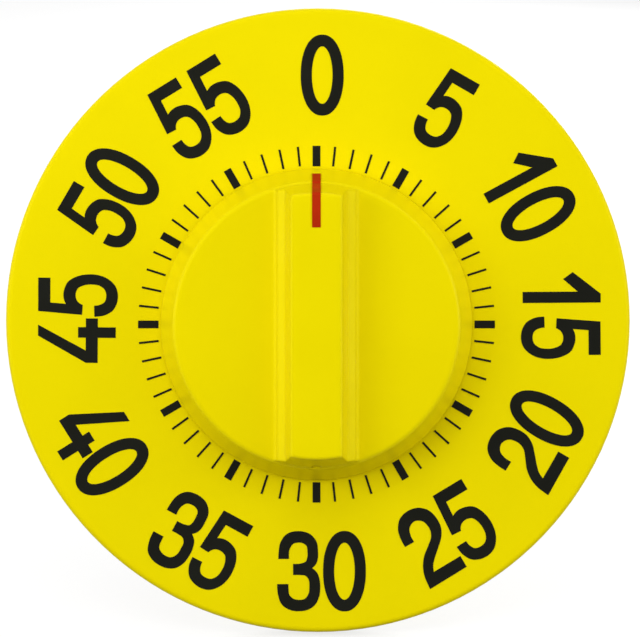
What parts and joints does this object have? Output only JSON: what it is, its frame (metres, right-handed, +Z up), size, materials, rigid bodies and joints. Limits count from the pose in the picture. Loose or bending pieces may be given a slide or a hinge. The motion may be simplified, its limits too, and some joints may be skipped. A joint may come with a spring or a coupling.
{
  "type": "visual countdown timer",
  "caption": "Round yellow visual countdown timer: large dial, turning knob with a red pointer line, wound movement with gong, magnets and folding wire stand.",
  "frame": {"origin": "on the table, under the middle of the standing timer's bounding box", "axes": "+Z up, the dial faces -Y and leans back 15 degrees, +X to the right as seen from the front"},
  "size_m": [0.178, 0.1049, 0.1732],
  "materials": {
    "dial_yellow": "smooth moulded plastic, satin sheen",
    "scale_ink": "flat printing ink",
    "pointer_red": "filled moulded line",
    "case_black": "fine spark-eroded grain",
    "magnet_ferrite": "ground sintered ferrite",
    "plated_steel": "zinc-plated",
    "stand_wire": "nickel-plated wire",
    "brass": "rolled and stamped",
    "blued_spring": "hardened and blued",
    "gong_steel": "nickel-plated pressing"
  },
  "bodies": {
    "root": {"dial_plate": "dial_yellow", "minute_scale": "scale_ink", "rear_case": "case_black", "case_screws": "plated_steel", "magnet_1": "magnet_ferrite", "magnet_2": "magnet_ferrite", "magnet_3": "magnet_ferrite", "magnet_4": "magnet_ferrite", "arbor_bush": "brass", "bush_nut": "plated_steel", "front_plate": "brass", "back_plate": "brass", "plate_pillars": "plated_steel", "pillar_nuts": "plated_steel", "movement_screws": "plated_steel", "mainspring": "blued_spring", "hairspring": "blued_spring", "hairspring_stud": "brass", "lever_stud": "plated_steel", "lever_spring": "blued_spring", "gong": "gong_steel", "gong_post": "brass", "gong_screw": "plated_steel"},
    "stand": {"wire_stand": "stand_wire"},
    "knob_drive": {"knob": "dial_yellow", "pointer_line": "pointer_red", "main_arbor": "plated_steel", "ratchet_wheel": "plated_steel", "strike_cam": "brass", "arbor_clip": "plated_steel"},
    "first_wheel": {"main_wheel": "brass", "click_spring": "blued_spring"},
    "click": {"click": "plated_steel"},
    "second": {"second_wheel": "brass", "second_arbor": "plated_steel", "hammer_star": "plated_steel"},
    "third": {"third_wheel": "brass", "third_arbor": "plated_steel"},
    "escape": {"escape_wheel": "brass", "escape_arbor": "plated_steel"},
    "pallet": {"pallet_lever": "brass", "pallet_pins": "plated_steel", "pallet_arbor": "plated_steel"},
    "balance": {"balance_wheel": "brass", "balance_staff": "plated_steel", "balance_roller": "plated_steel"},
    "strike_lever": {"strike_lever": "plated_steel"},
    "hammer": {"hammer_arbor": "plated_steel", "hammer_tail": "plated_steel", "hammer_arm": "plated_steel", "hammer_head": "brass"}
  },
  "joints": [
    {"name": "knob_turn", "type": "hinge", "parent": "root", "child": "knob_drive", "pos_m": [-0.0004, -0.0183, 0.08662], "axis": [0, 0.9659, -0.2588], "range_deg": [0, 354.95]},
    {"name": "stand_fold", "type": "hinge", "parent": "root", "child": "stand", "pos_m": [0, 0.01917, 0.09315], "axis": [-1, 0, 0], "range_deg": [0, 34.13]},
    {"name": "first_wheel_turn", "type": "hinge", "parent": "root", "child": "first_wheel", "pos_m": [-0.0004, -0.00864, 0.08403], "axis": [0, 0.9659, -0.2588], "range_deg": [-0.1, 355.1]},
    {"name": "second_turn", "type": "hinge", "parent": "root", "child": "second", "pos_m": [-0.02298, -0.01077, 0.07609], "axis": [0, 0.9659, -0.2588], "range_deg": [-3196, 0.5]},
    {"name": "third_turn", "type": "hinge", "parent": "root", "child": "third", "pos_m": [-0.02746, -0.00697, 0.09025], "axis": [0, 0.9659, -0.2588], "range_deg": [-1, 23960]},
    {"name": "escape_turn", "type": "hinge", "parent": "root", "child": "escape", "pos_m": [-0.02105, -0.0041, 0.10099], "axis": [0, 0.9659, -0.2588], "range_deg": [-167720, 5]},
    {"name": "click_lift", "type": "hinge", "parent": "first_wheel", "child": "click", "pos_m": [0.009, -0.00797, 0.08654], "axis": [0, -0.9659, 0.2588], "range_deg": [0, 12]},
    {"name": "pallet_rock", "type": "hinge", "parent": "root", "child": "pallet", "pos_m": [-0.01146, -0.00319, 0.10436], "axis": [0, -0.9659, 0.2588], "range_deg": [-4, 4]},
    {"name": "balance_swing", "type": "hinge", "parent": "root", "child": "balance", "pos_m": [-0.00047, -0.00216, 0.10822], "axis": [0, 0.9659, -0.2588], "range_deg": [-18, 18]},
    {"name": "strike_lever_drop", "type": "hinge", "parent": "root", "child": "strike_lever", "pos_m": [0.0126, -0.01164, 0.07283], "axis": [0, -0.9659, 0.2588], "range_deg": [-5, 0]},
    {"name": "hammer_swing", "type": "hinge", "parent": "root", "child": "hammer", "pos_m": [-0.0164, -0.01589, 0.05699], "axis": [0, 0.9659, -0.2588], "range_deg": [-4.2, 4]}
  ],
  "couplings": [
    {"joint": "first_wheel_turn", "follows": "knob_turn", "ratio": 1},
    {"joint": "second_turn", "follows": "knob_turn", "ratio": -9},
    {"joint": "third_turn", "follows": "knob_turn", "ratio": 67.5},
    {"joint": "escape_turn", "follows": "knob_turn", "ratio": -472.5}
  ]
}
